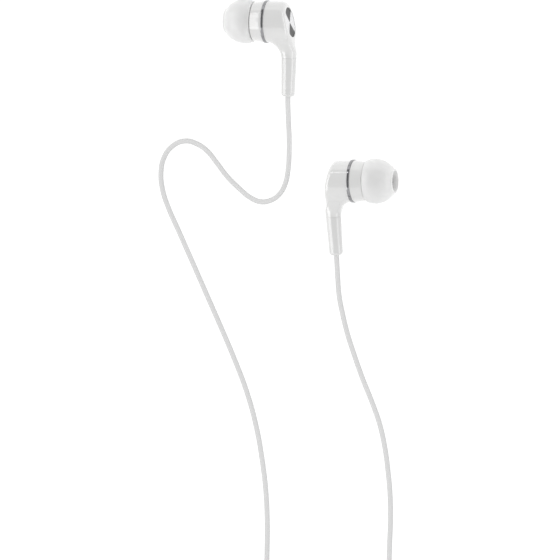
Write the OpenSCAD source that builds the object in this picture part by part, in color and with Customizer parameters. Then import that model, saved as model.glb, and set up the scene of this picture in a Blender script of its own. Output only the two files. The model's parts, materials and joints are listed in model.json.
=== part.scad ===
// Wired in-ear earphones: two buds, two branch cords, a slider, a splitter, a main cord and a 3.5 mm plug.
// They lie on a table: +Z is up, +Y points from the cords towards the buds, and all lengths are millimetres.
// A bud has its own frame: X runs along the barrel towards the ear, and the stem points along -Y.

/* [Bud] */
// Outer radius of the bright trim ring
ring_r = 5.95; // [5.85:0.05:6.05]
// Length of the trim ring along the barrel
ring_w = 0.8; // [0.6:0.05:1]
// Outer radius of the barrel beside the ring
barrel_r = 5.75; // [5.65:0.05:5.8]
// Inner radius of the barrel, around the driver
cavity_r = 4.55; // [4.5:0.01:4.6]
// Distance from the ring to the middle of the rear face
back_x = 6.74; // [6.6:0.02:7]
// Slant of the rear face in degrees
back_slant = 11.3; // [9:0.1:12]
// Radius of the rear disc
disc_r = 4.15; // [3.9:0.05:4.3]
// Thickness of the rear disc
disc_t = 0.45; // [0.35:0.05:0.5]
// Distance from the ring to the stem's axis, at the barrel's axis
stem_x = 6.6; // [6.4:0.05:6.7]
// Lean of the stem towards the ear, in degrees
stem_lean = 1.8; // [0:0.1:3]
// Where the housing ends and the soft strain relief begins, down the stem
stem_seam = 9.9; // [9.6:0.1:10.4]
// Length of the stem from the barrel's axis to the cord's exit
stem_end = 20.6; // [19:0.1:22]
// Radius of the stem at the seam
stem_r = 2.13; // [2:0.01:2.2]
// Radius of the strain relief near the cord's exit
relief_r = 1.9; // [1.8:0.05:2]

/* [Nozzle and ear tip] */
// Radius of the nozzle's neck
nozzle_r = 2.5; // [2.4:0.05:2.6]
// Radius of the barb that holds the ear tip
barb_r = 2.8; // [2.7:0.02:2.8]
// End of the nozzle, from the ring
nozzle_end = 10.8; // [10.4:0.1:11]
// Radius of the sound bore
sound_bore_r = 1.95; // [1.8:0.05:2]
// Largest radius of the ear tip's dome
tip_r = 6.2; // [6:0.05:6.4]
// Radius of the ear tip's mouth and core bore
tip_mouth_r = 2.86; // [2.84:0.02:2.9]
// Position of the skirt's rim, from the ring
tip_rim = 3.8; // [3.75:0.05:4]
// Position of the ear tip's nose, from the ring
tip_nose = 12; // [11.8:0.1:12.4]
// Thickness of the skirt
skirt_t = 0.55; // [0.45:0.05:0.6]

/* [Cords] */
// Diameter of each branch cord
branch_d = 1.4; // [1.2:0.05:1.5]
// Diameter of the main cord
main_d = 2; // [1.8:0.05:2.1]
// Thickness of the ties that hold the coils
tie_t = 0.35; // [0.3:0.05:0.35]

/* [Plug] */
// Radius of the plug's contacts
plug_r = 1.75; // [1.7:0.01:1.75]
// Length of the contacts that a socket takes
plug_l = 14; // [14:0.5:15]
// Radius of the moulded grip
grip_r = 3; // [2.9:0.05:3]
// Length of the grip with its tapered relief
grip_l = 24; // [22:0.5:26]

/* [Hidden] */
$fn = 48;
SIDES = ["left", "right"];
BUD_PIECES = [
    "ear_tip", "nozzle_housing", "trim_ring", "rear_housing", "back_disc", "nozzle_mesh",
    "driver_frame", "driver_yoke", "driver_magnet", "driver_pole_plate", "driver_cover",
    "voice_coil", "diaphragm_dome", "diaphragm_surround", "terminal_board", "vent_felt",
    "strain_relief", "knotted_end", "lead_wires"
];
CORD_PIECES = [
    "left_cord", "left_cord_coil", "right_cord", "right_cord_coil", "branch_coil_tie",
    "cord_slider", "y_splitter", "splitter_crimp", "main_cord", "main_cord_coil", "main_coil_tie",
    "plug_grip", "plug_core", "plug_sleeve", "plug_insulators", "plug_ring_contact", "plug_tip_contact"
];

// How each bud lies: on its trim ring, its ear tip and the end of its strain relief.
bud_roll = 11.2;
bud_lift = 2;
bud_z = 5.973;
left_place = [-12.45, 29.25, bud_z];
left_yaw = -2.8;
right_place = [12.5, -15.35, bud_z];
right_yaw = -0.9;

// Clearance between pieces that don't move against each other
fit = 0.03;
ring_half = ring_w / 2;
spigot_r = cavity_r + 0.53;
spigot_end = 1.3;
cavity_back = -5;
shell_face = 3.6;
knot_s = 7.3;
knot_r = 1.2;
relief_spigot_r = 1.38;
cord_r = branch_d / 2;
main_r = main_d / 2;

// Driver stack, as positions along the barrel
yoke_r = 3.3;
yoke_in_r = 2.9;
yoke_back = -2.6;
yoke_front = -0.2;
plate_r = 2.35;
coil_in_r = 2.5;
coil_out_r = 2.68;
frame_front = 0.6;
cover_front = 1.5;
frame_r = cavity_r - 0.05;

// Coils of stored cord: centre, radius of each turn's circle, and number of layers
left_coil_at = [-6.6, -131];
left_coil_r = 7.5;
right_coil_at = [12.7, -131];
right_coil_r = 7.8;
main_coil_at = [-32, -137.5];
main_coil_r = 10.8;

// Slider and splitter, on the line where the two branches run side by side
pair_x = 3;
pair_gap = 1.25;
pair_z = 1.7;
splitter_top = -175;
splitter_l = 17;
slider_l = 7;
slider_y = splitter_top + 1.5;
plug_at = [-40.5, -160, grip_r];

// Routes of the cords where they aren't coiled, from the buds to the coils and on to the splitter
left_route = [
    [-7.66, 8.5, 1.71], [-7.8, 6, 1.25], [-7.8, 2, 0.75], [-7.6, -2.5, 0.7], [-7.6, -7, 0.7],
    [-7.9, -11.5, 0.7], [-8.7, -15.5, 0.7], [-10.5, -18.6, 0.7], [-13.2, -20.3, 0.7],
    [-16, -20.6, 0.7], [-19, -19.4, 0.7], [-22.5, -16.6, 0.7], [-26, -13.2, 0.7],
    [-29, -9.4, 0.7], [-32, -5.9, 0.7], [-35, -4, 0.7], [-38.5, -3.2, 0.7], [-42, -4.5, 0.7],
    [-44.6, -7.6, 0.7], [-45.6, -12, 0.7], [-45.1, -17, 0.7], [-43.4, -22, 0.7],
    [-40.5, -28.2, 0.7], [-36.3, -37.2, 0.7], [-32, -46.5, 0.7], [-27.6, -56, 0.7],
    [-23.6, -65, 0.7], [-20.2, -73.5, 0.7], [-17.4, -83, 0.7], [-15.5, -93, 0.7],
    [-14.4, -102, 0.7], [-14, -111, 0.7], [-14.1, -121, 0.75], [-14.1, -131, 1.05]
];
left_route_end = [
    [-6.6, -138.5, 2.45], [-4, -138.5, 2.3], [-1.4, -139.2, 2], [0.7, -141, 1.8],
    [1.6, -143.5, 1.7], [1.75, -147, 1.7], [1.75, -160, 1.7], [1.75, -175, 1.7]
];
right_route = [
    [6.38, -35.75, 1.71], [6.42, -38.6, 1.18], [6.5, -42, 0.75], [6.9, -47, 0.7], [7.9, -52, 0.7],
    [9.3, -57.5, 0.7], [11.3, -63.5, 0.7], [13.7, -70, 0.7], [16.2, -76, 0.7],
    [18.5, -82.3, 0.7], [20, -88.8, 0.7], [20.9, -95.3, 0.7], [21.5, -102, 0.7],
    [21.6, -109, 0.7], [21.3, -117, 0.7], [21.2, -124, 0.8], [21.2, -131, 1.05]
];
right_route_end = [
    [12.7, -139.5, 2.45], [10, -139.5, 2.3], [7.4, -140.2, 2], [5.3, -142, 1.8],
    [4.4, -144.5, 1.7], [4.25, -148, 1.7], [4.25, -160, 1.7], [4.25, -175, 1.7]
];
main_route = [
    [3, -192, 1.7], [3, -195.5, 1.3], [2.5, -199.2, 1], [0.4, -203.4, 1], [-3.3, -206.1, 1],
    [-8.1, -207, 1], [-12.9, -206.1, 1], [-16.6, -203.4, 1], [-18.7, -199.2, 1],
    [-19.2, -194, 1], [-19.2, -180, 1], [-19.2, -165, 1], [-19.2, -150, 1.05], [-19.2, -137.5, 1.35]
];
main_route_end = [
    [-44.8, -137.5, 7.35], [-44.6, -142, 7], [-43.9, -147, 5.7], [-42.3, -152, 4.1],
    [-40.65, -156.5, 3.1], [-40.5, -160, 3]
];

// ---- Helpers ----

// The points [r, z] of an elliptical profile about height mid, from z0 to z1
function bow(radius, half, mid, z0, z1, steps) =
    [for (i = [0:steps]) let (z = z0 + (z1 - z0) * i / steps) [radius * sqrt(1 - pow((z - mid) / half, 2)), z]];

function reversed(list) = [for (i = [len(list) - 1:-1:0]) list[i]];
function unit(v) = v / norm(v);

// The direction of a route at point i
function heading(route, i) = unit(route[min(i + 1, len(route) - 1)] - route[max(i - 1, 0)]);

// Turns a profile of [r, x] points about the barrel's axis
module on_barrel(profile) {
    rotate([0, 90, 0]) rotate_extrude() polygon(profile);
}

// A tube or disc about the barrel's axis, from x0 to x1
module barrel_tube(outer, inner, x0, x1) {
    on_barrel([[inner, x0], [outer, x0], [outer, x1], [inner, x1]]);
}

// Places what is drawn along +Z so that it runs down the stem from the barrel's axis
module down_stem() {
    translate([-stem_x, 0, 0]) rotate([0, 0, stem_lean]) rotate([90, 0, 0]) children();
}

// Places what is drawn on the XY plane on the slanted rear face, with +Z pointing out of the bud
module on_back_face() {
    translate([-back_x, 0, 0]) rotate([0, 0, -back_slant]) rotate([0, -90, 0]) children();
}

// A straight round rod between two points
module rod(a, b, r) {
    d = b - a;
    translate(a) rotate([0, acos(d[2] / norm(d)), atan2(d[1], d[0])]) cylinder(r = r, h = norm(d));
}

// A tube of eight sides that follows a route
module tube(route, r) {
    sides = 8;
    points = [
        for (i = [0:len(route) - 1])
            let (along = heading(route, i), across = unit(cross(along, [0, 0, 1])), up = cross(across, along))
            for (k = [0:sides - 1])
                let (a = (k + 0.5) * 360 / sides) route[i] + r * (cos(a) * across + sin(a) * up)
    ];
    last = (len(route) - 1) * sides;
    walls = [
        for (i = [0:len(route) - 2]) for (k = [0:sides - 1])
            let (a = i * sides + k, b = i * sides + (k + 1) % sides)
            each [[a, b, b + sides], [a, b + sides, a + sides]]
    ];
    caps = [[for (k = [0:sides - 1]) sides - 1 - k], [for (k = [0:sides - 1]) last + k]];
    polyhedron(points = points, faces = concat(walls, caps), convexity = 6);
}

// The outer shape of a coil that rests on its tie
module coil_ring(at, inner, outer, height) {
    soft = 0.4;
    translate([at[0], at[1], tie_t])
        rotate_extrude($fn = 96)
            polygon([
                [inner, soft], [inner + soft, 0], [outer - soft, 0], [outer, soft],
                [outer, height - soft], [outer - soft, height], [inner + soft, height], [inner, height - soft]
            ]);
}

// A flat band round a bundle of cords, long along Y
module band(x0, x1, y, width, height) {
    translate([x0 - tie_t, y - width / 2, 0])
        difference() {
            cube([x1 - x0 + 2 * tie_t, width, height + 2 * tie_t]);
            translate([tie_t, -1, tie_t]) cube([x1 - x0, width + 2, height]);
        }
}

// ---- Placing the buds ----

module right_bud() {
    translate(right_place) rotate([0, 0, right_yaw]) rotate([0, -bud_lift, 0]) rotate([bud_roll, 0, 0]) children();
}

module left_bud() {
    translate(left_place) rotate([0, 0, left_yaw]) rotate([0, bud_lift, 0]) rotate([bud_roll, 0, 0])
        rotate([0, 180, 0]) children();
}

module bud(side) {
    if (side == "left") left_bud() children();
    else right_bud() children();
}

// ---- Shells and trim of a bud ----

// Silicone ear tip: a domed skirt, folded back at the nose into a core that grips the nozzle
module ear_tip() {
    widest = 6.2;
    back_half = 5.6;
    nose_half = 6.4;
    core_r = 3.55;
    core_back = 5.2;
    lip = tip_nose - 0.35;
    inner_r = tip_r - skirt_t;
    inner_half = nose_half - 0.6;
    web = widest + inner_half * sqrt(1 - pow(core_r / inner_r, 2));
    outside = concat(
        bow(tip_r, back_half, widest, tip_rim, widest, 6),
        bow(tip_r, nose_half, widest, widest + 0.5, lip, 14)
    );
    mouth = [
        [3.2, tip_nose - 0.1], [3.02, tip_nose], [2.92, tip_nose - 0.05], [tip_mouth_r, tip_nose - 0.2],
        [tip_mouth_r, core_back], [core_r, core_back]
    ];
    inside = reversed(concat(
        bow(inner_r, back_half, widest, tip_rim, widest, 5),
        bow(inner_r, inner_half, widest, widest + 0.5, web, 10)
    ));
    color("whitesmoke") on_barrel(concat(outside, mouth, inside));
}

// Front shell: half of the barrel, closing down to the nozzle with its barb
module nozzle_housing() {
    front_cavity_r = cavity_r + 0.05;
    color("white") on_barrel([
        [barrel_r, ring_half + fit], [barrel_r - 0.03, 0.9], [barrel_r - 0.43, shell_face - 0.2],
        [barrel_r - 0.55, shell_face], [barrel_r - 0.83, shell_face + 0.15], [barrel_r - 1.05, 4.2],
        [3.4, 4.6], [nozzle_r, 5], [nozzle_r, 9.3], [barb_r, 9.6], [barb_r, 10.3],
        [nozzle_r, nozzle_end], [2.25, nozzle_end], [2.25, nozzle_end - 0.4],
        [sound_bore_r, nozzle_end - 0.4], [sound_bore_r, 4.3],
        [front_cavity_r - 0.4, 3], [front_cavity_r, 2.6], [front_cavity_r, spigot_end + fit],
        [spigot_r + fit, spigot_end + fit], [spigot_r + fit, ring_half + fit]
    ]);
}

// Bright metal ring between the two shells
module trim_ring() {
    bevel = 0.12;
    color("silver") on_barrel([
        [spigot_r + fit, -ring_half], [ring_r - bevel, -ring_half], [ring_r, bevel - ring_half],
        [ring_r, ring_half - bevel], [ring_r - bevel, ring_half], [spigot_r + fit, ring_half]
    ]);
}

// A thin elliptical slice across the stem, at distance s from the barrel's axis
module stem_slice(s, x_offset, x_half, z_half) {
    down_stem() translate([x_offset, 0, s]) scale([1, z_half / x_half, 1]) cylinder(r = x_half, h = 0.05, $fn = 40);
}

module housing_outside() {
    front = -ring_half - fit;
    // Down the stem: distance from the barrel's axis, offset and half width across the stem, half thickness
    flare = [
        [4.4, 2.42, 3.58, 3.65], [5.5, 1.74, 3.16, 3.15], [6.3, 1.2, 2.8, 2.86], [7.4, 0.58, 2.42, 2.54],
        [8.6, 0.19, 2.21, 2.28], [stem_seam - 0.08, 0, stem_r, stem_r]
    ];
    // The rounded rear edge: distance in from the rear face, and how much smaller than the barrel
    edge = [[0.05, 1.2], [0.22, 0.6], [0.62, 0.19], [1.2, 0.02]];
    hull() {
        barrel_tube_solid(barrel_r, -4.4, front);
        for (e = edge)
            on_back_face() translate([0, 0, -e[0]]) cylinder(r = barrel_r - e[1], h = 0.05, $fn = 64);
    }
    for (k = [1:len(flare) - 1]) hull() {
        stem_slice(flare[k - 1][0], flare[k - 1][1], flare[k - 1][2], flare[k - 1][3]);
        stem_slice(flare[k][0], flare[k][1], flare[k][2], flare[k][3]);
    }
}

module barrel_tube_solid(r, x0, x1) {
    translate([x0, 0, 0]) rotate([0, 90, 0]) cylinder(r = r, h = x1 - x0, $fn = 64);
}

// Rear shell: the other half of the barrel and the upper stem, hollow for the driver, knot and wires
module rear_housing() {
    recess_t = disc_t + 0.05;
    color("white") difference() {
        union() {
            housing_outside();
            barrel_tube(spigot_r, cavity_r - 0.5, -0.6, spigot_end);
        }
        barrel_tube(cavity_r, 0, cavity_back, spigot_end + 1);
        on_back_face() translate([0, 0, -recess_t]) cylinder(r = disc_r + fit, h = recess_t + 1);
        rod([-4.1, -3.2, 0], [-6.37, -knot_s, 0], 1.1);
        down_stem() translate([0, 0, knot_s]) sphere(r = knot_r + 0.2);
        down_stem() translate([0, 0, knot_s]) cylinder(r = relief_spigot_r + fit, h = 4);
    }
}

// Spun metal disc, slightly dished, set into the rear face
module back_disc() {
    bevel = 0.12;
    dish = 0.14;
    color("silver") on_back_face() translate([0, 0, -disc_t - 0.04]) rotate_extrude()
        polygon([
            [0, 0], [disc_r, 0], [disc_r, disc_t - bevel], [disc_r - bevel, disc_t],
            [disc_r - 0.35, disc_t], [2.6, disc_t - 0.08], [1.3, disc_t - 0.12], [0, disc_t - dish]
        ]);
}

// Woven grille in the nozzle's end, with rings of fine holes
module nozzle_mesh() {
    hole_r = 0.17;
    color("gray") difference() {
        barrel_tube(2.2, 0, nozzle_end - 0.38, nozzle_end - 0.1);
        for (ring = [1:3]) for (k = [0:6 * ring - 1])
            rotate([k * 60 / ring, 0, 0]) translate([nozzle_end - 1, ring * 0.6, 0]) rotate([0, 90, 0])
                cylinder(r = hole_r, h = 2, $fn = 16);
    }
}

// Soft strain relief, plugged into the stem
module strain_relief() {
    hole_r = cord_r + fit;
    color("white") down_stem() rotate_extrude()
        polygon([
            [hole_r, knot_s + 1.7], [relief_spigot_r, knot_s + 1.7], [relief_spigot_r, stem_seam + fit],
            [stem_r, stem_seam + fit], [stem_r - 0.1, 14], [relief_r + 0.02, 18], [relief_r, stem_end - 0.55],
            [relief_r - 0.12, stem_end - 0.2], [relief_r - 0.4, stem_end], [hole_r, stem_end]
        ]);
}

// ---- Inside a bud ----

module driver_frame() {
    color("dimgray") on_barrel([
        [yoke_r + fit, -0.9], [frame_r, -0.9], [frame_r, cover_front - 0.5], [frame_r - 0.25, cover_front - 0.5],
        [frame_r - 0.25, frame_front], [3.7, frame_front], [3.7, 0.1], [yoke_r + fit, 0.1]
    ]);
}

// Steel cup that carries the magnet
module driver_yoke() {
    color("silver") on_barrel([
        [0, yoke_back], [yoke_r, yoke_back], [yoke_r, yoke_front], [yoke_in_r, yoke_front],
        [yoke_in_r, yoke_back + 0.5], [0, yoke_back + 0.5]
    ]);
}

module driver_magnet() {
    color("gray") barrel_tube(2.3, 0, yoke_back + 0.52, -0.9);
}

module driver_pole_plate() {
    color("silver") barrel_tube(plate_r, 0, -0.88, -0.4);
}

// Pierced metal plate in front of the diaphragm
module driver_cover() {
    color("silver") difference() {
        on_barrel([
            [0, cover_front - 0.15], [frame_r - 0.28, cover_front - 0.15], [frame_r - 0.28, cover_front - 0.45],
            [frame_r, cover_front - 0.45], [frame_r, cover_front], [0, cover_front]
        ]);
        for (k = [0:5])
            rotate([k * 60, 0, 0]) translate([0, 2.2, 0]) rotate([0, 90, 0]) cylinder(r = 0.45, h = 3, $fn = 24);
        rotate([0, 90, 0]) cylinder(r = 0.45, h = 3, $fn = 24);
    }
}

module voice_coil() {
    color("peru") barrel_tube(coil_out_r, coil_in_r, -1.2, 0.4);
}

// Domed centre of the diaphragm, which the voice coil pushes
module diaphragm_dome() {
    film = 0.08;
    radius = coil_out_r;
    front = [for (i = [0:6]) let (r = radius * (1 - i / 6)) [r, 0.5 + 0.45 * (1 - pow(r / radius, 2))]];
    back = [for (p = reversed(front)) [p[0], p[1] - film]];
    color("gainsboro") on_barrel(concat(front, back));
}

// Half-roll of film between the dome and the frame
module diaphragm_surround() {
    film = 0.08;
    inner = coil_out_r + 0.06;
    outer = frame_r - 0.35;
    top = [for (i = [0:8]) let (a = 180 * i / 8, mid = (inner + outer) / 2, half = (outer - inner) / 2)
        [mid - half * cos(a), frame_front + 0.02 + 0.32 * sin(a)]];
    bottom = [for (p = reversed(top)) [p[0], p[1] + film]];
    color("gainsboro") on_barrel(concat(top, bottom));
}

// Small board behind the yoke, where the wires are soldered
module terminal_board() {
    thick = 0.3;
    color("darkgreen") intersection() {
        barrel_tube(2.9, 0, yoke_back - thick - fit, yoke_back - fit);
        translate([-4, -3.5, -1.6]) cube([3, 3.2, 3.2]);
    }
}

// Damping felt ring over the vents behind the frame
module vent_felt() {
    color("black") barrel_tube(frame_r - 0.1, yoke_r + 0.1, -1.15, -0.93);
}

// The cord's own end inside the strain relief, with the knot that takes its pull
module knotted_end() {
    color("whitesmoke") down_stem() {
        translate([0, 0, knot_s]) sphere(r = knot_r);
        translate([0, 0, knot_s]) cylinder(r = cord_r, h = stem_end - 0.3 - knot_s);
    }
}

// Two enamelled wires from the knot to the terminal board
module lead_wires() {
    wire_r = 0.16;
    color("peru") for (z = [-0.45, 0.45])
        rod([yoke_back - 0.5, -2, z], [-6.18, -6.02, z * 0.6], wire_r);
}

// ---- Cords and what is on them ----

module left_cord() {
    color("whitesmoke") {
        tube(left_route, cord_r);
        tube(left_route_end, cord_r);
    }
}

module right_cord() {
    color("whitesmoke") {
        tube(right_route, cord_r);
        tube(right_route_end, cord_r);
    }
}

module main_cord() {
    color("whitesmoke") {
        tube(main_route, main_r);
        tube(main_route_end, main_r);
    }
}

module left_cord_coil() {
    color("whitesmoke") coil_ring(left_coil_at, left_coil_r - cord_r, left_coil_r + cord_r, 2 * branch_d);
}

module right_cord_coil() {
    color("whitesmoke") coil_ring(right_coil_at, right_coil_r - branch_d, right_coil_r + branch_d, 2 * branch_d);
}

module main_cord_coil() {
    color("whitesmoke") coil_ring(main_coil_at, main_coil_r - 1.5 * main_d, main_coil_r + 1.5 * main_d, 4 * main_d);
}

// Tie round the near sides of the two branch coils
module branch_coil_tie() {
    width = 3;
    slack = 0.25;
    color("lightgray") band(
        left_coil_at[0] + left_coil_r - cord_r - slack - 0.1, right_coil_at[0] - right_coil_r + branch_d + slack,
        left_coil_at[1], width, 2 * branch_d + 0.1
    );
}

// Tie round the far side of the main coil
module main_coil_tie() {
    width = 5;
    slack = 0.5;
    color("lightgray") translate([main_coil_at[0], main_coil_at[1], 0]) rotate([0, 0, 90])
        band(main_coil_r - 1.5 * main_d - slack, main_coil_r + 1.5 * main_d + 0.1, 0, width, 4 * main_d + 0.1);
}

// Slider that gathers the two branches; it runs along them with a light drag
module cord_slider() {
    half_h = 1.6;
    color("white") translate([pair_x, slider_y, pair_z]) rotate([-90, 0, 0]) difference() {
        hull() for (x = [-1.7, 1.7]) translate([x, 0, 0]) {
            translate([0, 0, 0.3]) cylinder(r = half_h, h = slider_l - 0.6, $fn = 32);
            cylinder(r = half_h - 0.3, h = slider_l, $fn = 32);
        }
        for (x = [-pair_gap, pair_gap]) translate([x, 0, -1]) cylinder(r = cord_r + 0.2, h = slider_l + 2);
    }
}

// Moulded splitter, where the branches join into the main cord
module y_splitter() {
    color("white") translate([pair_x, splitter_top, pair_z]) rotate([90, 0, 0]) difference() {
        hull() {
            for (x = [-1.6, 1.6]) translate([x, 0, 0]) {
                cylinder(r = pair_z - 0.4, h = 6, $fn = 32);
                translate([0, 0, 0.4]) cylinder(r = pair_z, h = 5, $fn = 32);
            }
            cylinder(r = 1.45, h = splitter_l, $fn = 32);
        }
        translate([0, 0, 5]) cylinder(r = 0.95, h = 6);
    }
}

// Crimped wires inside the splitter
module splitter_crimp() {
    color("silver") translate([pair_x, splitter_top - 5.1, pair_z]) rotate([90, 0, 0]) cylinder(r = 0.9, h = 5.8);
}

// ---- Plug ----

contacts_z = grip_l + 0.8;
sleeve_end = contacts_z + plug_l / 2;
band_l = 0.6;
ring_l = 2;
ring_start = sleeve_end + band_l;
tip_start = ring_start + ring_l + band_l;
plug_end = contacts_z + plug_l;
tip_rod_r = 0.6;

module along_plug() {
    translate(plug_at) rotate([90, 0, 0]) children();
}

module plug_grip() {
    relief_l = 7;
    core_l = 7;
    color("white") along_plug() difference() {
        rotate_extrude()
            polygon([
                [0, 0], [1.45, 0], [1.6, 0.3], [2, relief_l - 0.6], [2.2, relief_l], [grip_r - 0.5, relief_l + 0.15],
                [grip_r - 0.15, relief_l + 0.5], [grip_r, relief_l + 1.1], [grip_r, grip_l - 0.8],
                [grip_r - 0.25, grip_l - 0.15], [grip_r - 0.6, grip_l], [0, grip_l]
            ]);
        translate([0, 0, grip_l - core_l]) cylinder(r = 2.05, h = core_l + 1);
    }
}

// Hard insert that holds the contacts in the grip
module plug_core() {
    color("ivory") along_plug() rotate_extrude()
        polygon([
            [plug_r - 0.55 + fit, grip_l - 6.9], [2, grip_l - 6.9], [2, grip_l - fit], [plug_r - 0.55 + fit, grip_l - fit]
        ]);
}

module plug_sleeve() {
    color("gold") along_plug() rotate_extrude()
        polygon([
            [plug_r - 0.5, grip_l], [2.5, grip_l], [2.6, grip_l + 0.15], [2.6, contacts_z - 0.15],
            [2.5, contacts_z], [plug_r, contacts_z], [plug_r, sleeve_end], [plug_r - 0.5, sleeve_end]
        ]);
}

// Black bands between the contacts, with the liner inside the sleeve
module plug_insulators() {
    color("black") along_plug() {
        rotate_extrude()
            polygon([
                [tip_rod_r + fit, grip_l + fit], [plug_r - 0.55, grip_l + fit], [plug_r - 0.55, sleeve_end],
                [plug_r, sleeve_end], [plug_r, ring_start], [tip_rod_r + fit, ring_start]
            ]);
        translate([0, 0, ring_start + ring_l]) difference() {
            cylinder(r = plug_r, h = band_l);
            translate([0, 0, -1]) cylinder(r = tip_rod_r + fit, h = 3);
        }
    }
}

module plug_ring_contact() {
    color("gold") along_plug() translate([0, 0, ring_start]) difference() {
        cylinder(r = plug_r, h = ring_l);
        translate([0, 0, -1]) cylinder(r = tip_rod_r + fit, h = ring_l + 2);
    }
}

// Pointed tip contact, on a rod that runs back through the others
module plug_tip_contact() {
    color("gold") along_plug() rotate_extrude()
        polygon([
            [0, grip_l - 5], [tip_rod_r, grip_l - 5], [tip_rod_r, tip_start], [plug_r, tip_start],
            [plug_r, tip_start + 0.3], [1.3, tip_start + 1.5], [1.25, tip_start + 1.7], [1.62, tip_start + 2.2],
            [1.68, tip_start + 2.45], [1.55, tip_start + 2.75], [0.55, plug_end - 0.12], [0.3, plug_end], [0, plug_end]
        ]);
}

// ---- Nodes ----

module bud_piece(piece) {
    if (piece == "ear_tip") ear_tip();
    if (piece == "nozzle_housing") nozzle_housing();
    if (piece == "trim_ring") trim_ring();
    if (piece == "rear_housing") rear_housing();
    if (piece == "back_disc") back_disc();
    if (piece == "nozzle_mesh") nozzle_mesh();
    if (piece == "driver_frame") driver_frame();
    if (piece == "driver_yoke") driver_yoke();
    if (piece == "driver_magnet") driver_magnet();
    if (piece == "driver_pole_plate") driver_pole_plate();
    if (piece == "driver_cover") driver_cover();
    if (piece == "voice_coil") voice_coil();
    if (piece == "diaphragm_dome") diaphragm_dome();
    if (piece == "diaphragm_surround") diaphragm_surround();
    if (piece == "terminal_board") terminal_board();
    if (piece == "vent_felt") vent_felt();
    if (piece == "strain_relief") strain_relief();
    if (piece == "knotted_end") knotted_end();
    if (piece == "lead_wires") lead_wires();
}

for (side = SIDES) for (piece = BUD_PIECES)
    bud(side) bud_piece(piece);

left_cord();
left_cord_coil();
right_cord();
right_cord_coil();
branch_coil_tie();
cord_slider();
y_splitter();
splitter_crimp();
main_cord();
main_cord_coil();
main_coil_tie();
plug_grip();
plug_core();
plug_sleeve();
plug_insulators();
plug_ring_contact();
plug_tip_contact();
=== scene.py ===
"""Wired in-ear earphones lying on a pale table: the visual model, built on the CAD frame. Row frame, metres."""

import json
import math

import bmesh
import bpy
import numpy as np
from mathutils import Matrix, Vector


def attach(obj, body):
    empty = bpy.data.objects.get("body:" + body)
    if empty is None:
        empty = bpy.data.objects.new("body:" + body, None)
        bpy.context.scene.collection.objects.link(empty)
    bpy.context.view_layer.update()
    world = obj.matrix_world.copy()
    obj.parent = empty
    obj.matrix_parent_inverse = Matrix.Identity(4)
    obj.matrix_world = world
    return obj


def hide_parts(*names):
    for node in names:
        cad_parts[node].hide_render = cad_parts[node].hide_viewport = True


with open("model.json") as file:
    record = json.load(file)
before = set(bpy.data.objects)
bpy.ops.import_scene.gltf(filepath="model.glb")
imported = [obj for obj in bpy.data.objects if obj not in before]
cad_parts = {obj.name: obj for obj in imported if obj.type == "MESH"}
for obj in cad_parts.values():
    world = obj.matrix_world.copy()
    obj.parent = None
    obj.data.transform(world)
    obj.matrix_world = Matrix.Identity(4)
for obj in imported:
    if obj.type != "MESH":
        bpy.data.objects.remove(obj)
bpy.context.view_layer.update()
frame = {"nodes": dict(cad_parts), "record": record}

MM = 0.001
SIDES = ("left", "right")

# Sizes of a bud in millimetres, in its own frame: X along the barrel to the ear, the stem along -Y
RING_R, RING_HALF = 5.95, 0.4
BARREL_R = 5.75
BACK_X, SLANT = 6.74, 11.3
DISC_R, DISC_T = 4.15, 0.45
STEM_X, STEM_LEAN = 6.6, 1.8
SEAM, STEM_END = 9.9, 20.6
STEM_R, RELIEF_R = 2.13, 1.9
NOZZLE_R, BARB_R, NOZZLE_END, BORE_R = 2.5, 2.8, 10.8, 1.95
TIP_R, TIP_MOUTH, TIP_RIM, TIP_NOSE, SKIRT_T = 6.18, 2.86, 3.8, 12.0, 0.55
HAIR = 0.02  # the gap left where two rigid pieces meet

# Sizes of what is on the cords, in millimetres, in the row frame
BRANCH_D, MAIN_D = 1.4, 2.0
LEFT_COIL_AT, LEFT_COIL_R = (-6.6, -131), 7.5
RIGHT_COIL_AT, RIGHT_COIL_R = (12.7, -131), 7.8
MAIN_COIL_AT, MAIN_COIL_R = (-32, -137.5), 10.8
PAIR_X, PAIR_Z = 3, 1.7
SLIDER_Y, SLIDER_LENGTH = -173.5, 7
SPLITTER_Y, SPLITTER_LENGTH = -175, 17


def turn(axis, degrees):
    return Matrix.Rotation(math.radians(degrees), 4, axis)


def move(x, y, z):
    return Matrix.Translation(Vector((x, y, z)) * MM)


# A bud rests on its ring, tip and stem: its height, how far the barrel tips up, and its roll about the barrel
REST_Z, REST_TIP_UP, REST_ROLL = 5.973, 2, 11.2
BUDS = {
    "left": move(-12.45, 29.25, REST_Z) @ turn("Z", -2.8) @ turn("Y", REST_TIP_UP) @ turn("X", REST_ROLL)
    @ turn("Y", 180),
    "right": move(12.5, -15.35, REST_Z) @ turn("Z", -0.9) @ turn("Y", -REST_TIP_UP) @ turn("X", REST_ROLL),
}
ON_BARREL = turn("Y", 90)
DOWN_STEM = move(-STEM_X, 0, 0) @ turn("Z", STEM_LEAN) @ turn("X", 90)
ON_BACK_FACE = move(-BACK_X, 0, 0) @ turn("Z", -SLANT) @ turn("Y", -90)
PLUG_AT = (-40.5, -160, 3)  # where the cord enters the plug's grip
ALONG_PLUG = move(*PLUG_AT) @ turn("X", 90)


# ---- Camera ----


VIEW_TILT, VIEW_DISTANCE, VIEW_TARGET = 17, 0.7, (-10.5, -42.55, 0)
SENSOR, LENS = 36, 160.7


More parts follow.
